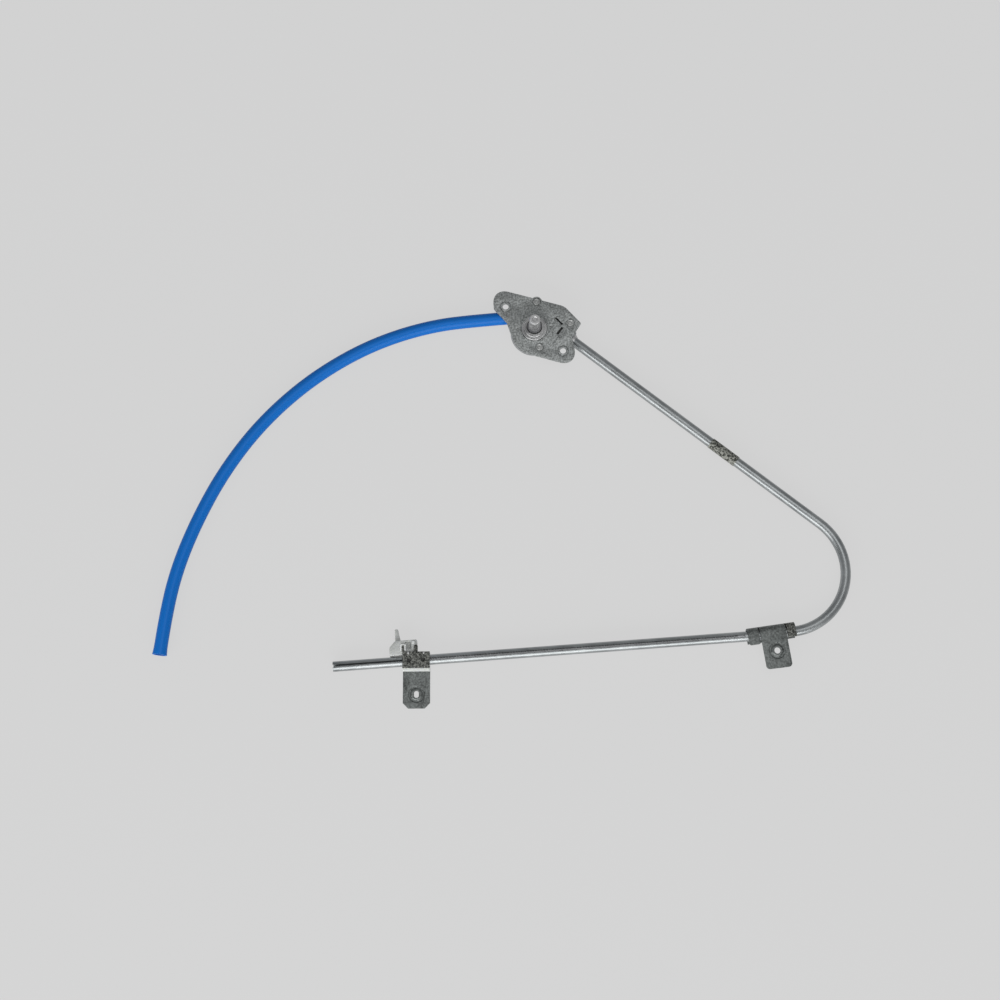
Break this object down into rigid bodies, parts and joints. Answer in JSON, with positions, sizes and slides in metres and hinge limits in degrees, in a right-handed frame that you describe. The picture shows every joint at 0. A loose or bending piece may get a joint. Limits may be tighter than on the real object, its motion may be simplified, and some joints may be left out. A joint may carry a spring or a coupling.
{
  "type": "window regulator",
  "caption": "Crank gearbox on a lobed plate drives a rack cable in a bent slotted guide tube, lifting a glass carrier; the spare cable runs into a blue sheath.",
  "frame": {"origin": "crank axis at the front face of the mounting plate, which is the centre of the mounting bolt circle", "axes": "+Z out of the plate along the crank spindle, +X along the slotted guide run towards the bend, +Y from the guide run towards the gearbox side"},
  "size_m": [0.7602, 0.4622, 0.0477],
  "materials": {
    "zinc_plate": "zinc plated pressed steel, mottled satin grey",
    "tube_steel": "zinc plated drawn tube, satin",
    "dark_steel": "dark phosphated pressed steel, mottled",
    "bright_steel": "bright turned steel",
    "die_cast": "raw die casting",
    "spring_steel": "oiled spring steel",
    "cable_steel": "greased helical rack cable",
    "bush_bronze": "sintered bronze",
    "nylon": "natural white nylon",
    "black_rubber": "matt black rubber",
    "mottled_sleeve": "dark mottled sleeve",
    "blue_sheath": "glossy bright blue extruded plastic"
  },
  "bodies": {
    "root": {"mounting_plate": "zinc_plate", "plate_rivets": "zinc_plate", "rear_housing": "die_cast", "brake_drum": "bright_steel", "spindle_bush": "bush_bronze", "dust_ring": "black_rubber", "rear_bush": "nylon", "thrust_washer": "bright_steel", "tube_ferrule": "bright_steel", "sheath_socket": "nylon", "guide_tube": "tube_steel", "anti_rattle_sleeve": "mottled_sleeve", "tube_bracket": "dark_steel", "cable_tail": "cable_steel", "cable_upper": "cable_steel", "cable_guide": "cable_steel", "cable_gear": "cable_steel", "sheath_hose": "blue_sheath"},
    "crank": {"spindle": "bright_steel", "drive_pinion": "bright_steel", "wrap_spring": "spring_steel", "retaining_clip": "spring_steel"},
    "carrier": {"cable_fitting": "bright_steel", "carrier_rivets": "bright_steel", "carrier_cap": "dark_steel", "carrier_plate": "dark_steel", "slide_shoe": "nylon"}
  },
  "joints": [
    {"name": "crank_turn", "type": "hinge", "parent": "root", "child": "crank", "pos_m": [0, 0, 0], "axis": [0, 0, 1], "range_deg": [0, 1015.38], "deforming": ["cable_gear"]},
    {"name": "carrier_slide", "type": "slide", "parent": "root", "child": "carrier", "axis": [1, 0, 0], "range_m": [0, 0.33001], "deforming": ["cable_guide"]}
  ],
  "couplings": [
    {"joint": "carrier_slide", "follows": "crank_turn", "m_per_rad": 0.018621}
  ]
}
